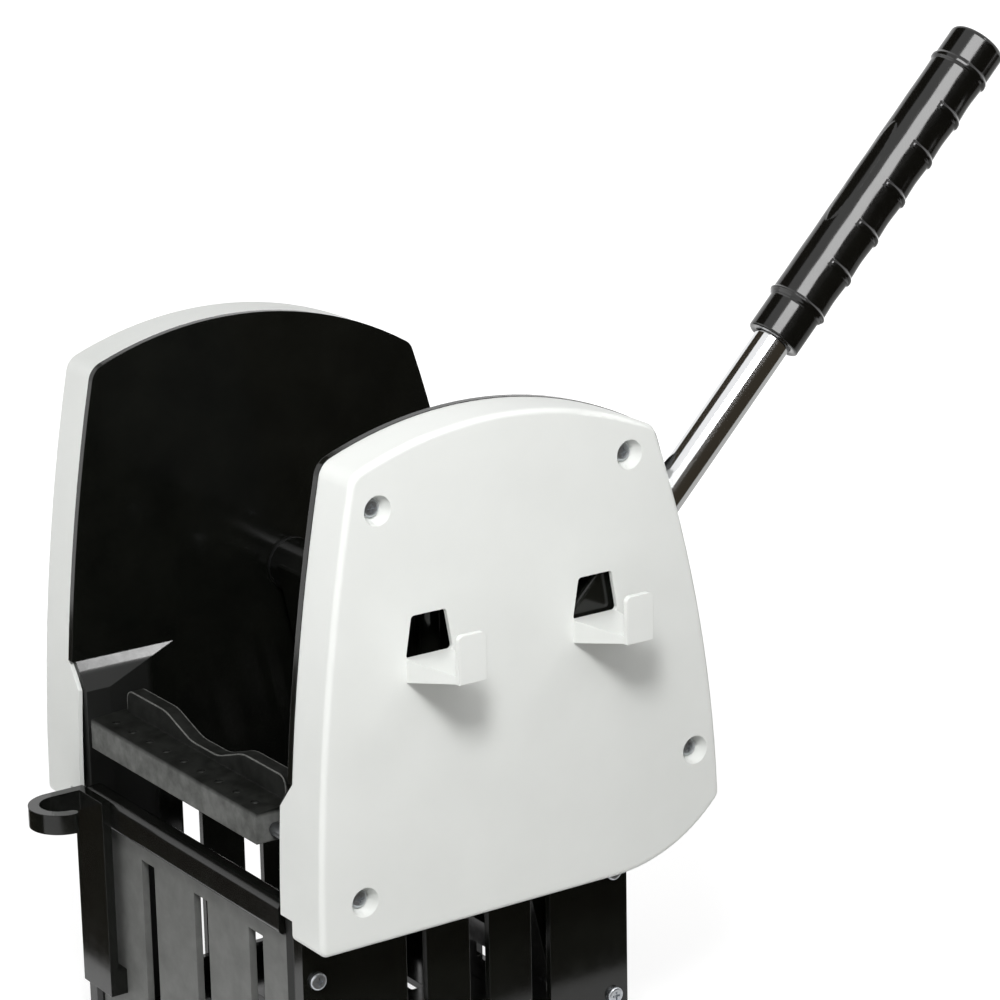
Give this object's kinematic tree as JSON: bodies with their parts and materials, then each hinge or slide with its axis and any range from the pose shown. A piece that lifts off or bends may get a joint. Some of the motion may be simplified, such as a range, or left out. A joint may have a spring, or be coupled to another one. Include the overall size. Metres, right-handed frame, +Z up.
{
  "type": "mop wringer",
  "caption": "Lever-operated mop wringer for a bucket: black slotted hopper between white side covers, press bar, handle hook and a chrome lever with a ribbed grip.",
  "frame": {"origin": "centre of the underside of the hopper floor", "axes": "+X to the lever side, +Y from the press bar to the rear, +Z up"},
  "size_m": [0.364, 0.4735, 0.5357],
  "materials": {
    "white_plastic": "satin white moulded plastic",
    "black_plastic": "glossy black moulded plastic",
    "bar_plastic": "matt dark grey moulded plastic",
    "chrome_tube": "bright chrome plate",
    "grip_plastic": "glossy black soft plastic",
    "zinc_steel": "zinc-plated steel",
    "bright_steel": "plain bright steel",
    "bush_plastic": "black acetal",
    "bumper_rubber": "black rubber"
  },
  "bodies": {
    "frame": {"cover_right": "white_plastic", "cover_left": "white_plastic", "liner_right": "black_plastic", "liner_left": "black_plastic", "cover_screws_right": "zinc_steel", "cover_screws_left": "zinc_steel", "frame_screws_right": "zinc_steel", "frame_screws_left": "zinc_steel", "front_strainer": "bar_plastic", "rear_panel": "black_plastic", "floor_grid": "black_plastic", "front_jaw": "bar_plastic", "front_jaw_rods": "bright_steel", "rod_clips": "bright_steel", "mop_handle_hook": "black_plastic", "hook_screws": "zinc_steel", "shaft_bush_right": "bush_plastic", "shaft_bush_left": "bush_plastic", "stop_bumper": "bumper_rubber", "spring_anchor_peg": "bright_steel", "return_spring": "bright_steel"},
    "lever": {"cross_shaft": "bright_steel", "arm_key": "bright_steel", "crank_key": "bright_steel", "shaft_clips": "bright_steel", "lever_arm": "black_plastic", "lever_tube": "chrome_tube", "tube_pins": "bright_steel", "lever_grip": "grip_plastic", "press_jaw": "black_plastic", "jaw_bolts": "zinc_steel", "jaw_nuts": "zinc_steel", "spring_crank": "bright_steel", "crank_pin": "bright_steel"}
  },
  "joints": [
    {"name": "lever_swing", "type": "hinge", "parent": "frame", "child": "lever", "pos_m": [0, 0.037, 0.2365], "axis": [-1, 0, 0], "range_deg": [0, 45], "stiffness_Nm_per_rad": 2.5, "springref_deg": -25.78, "deforming": ["return_spring"]}
  ]
}
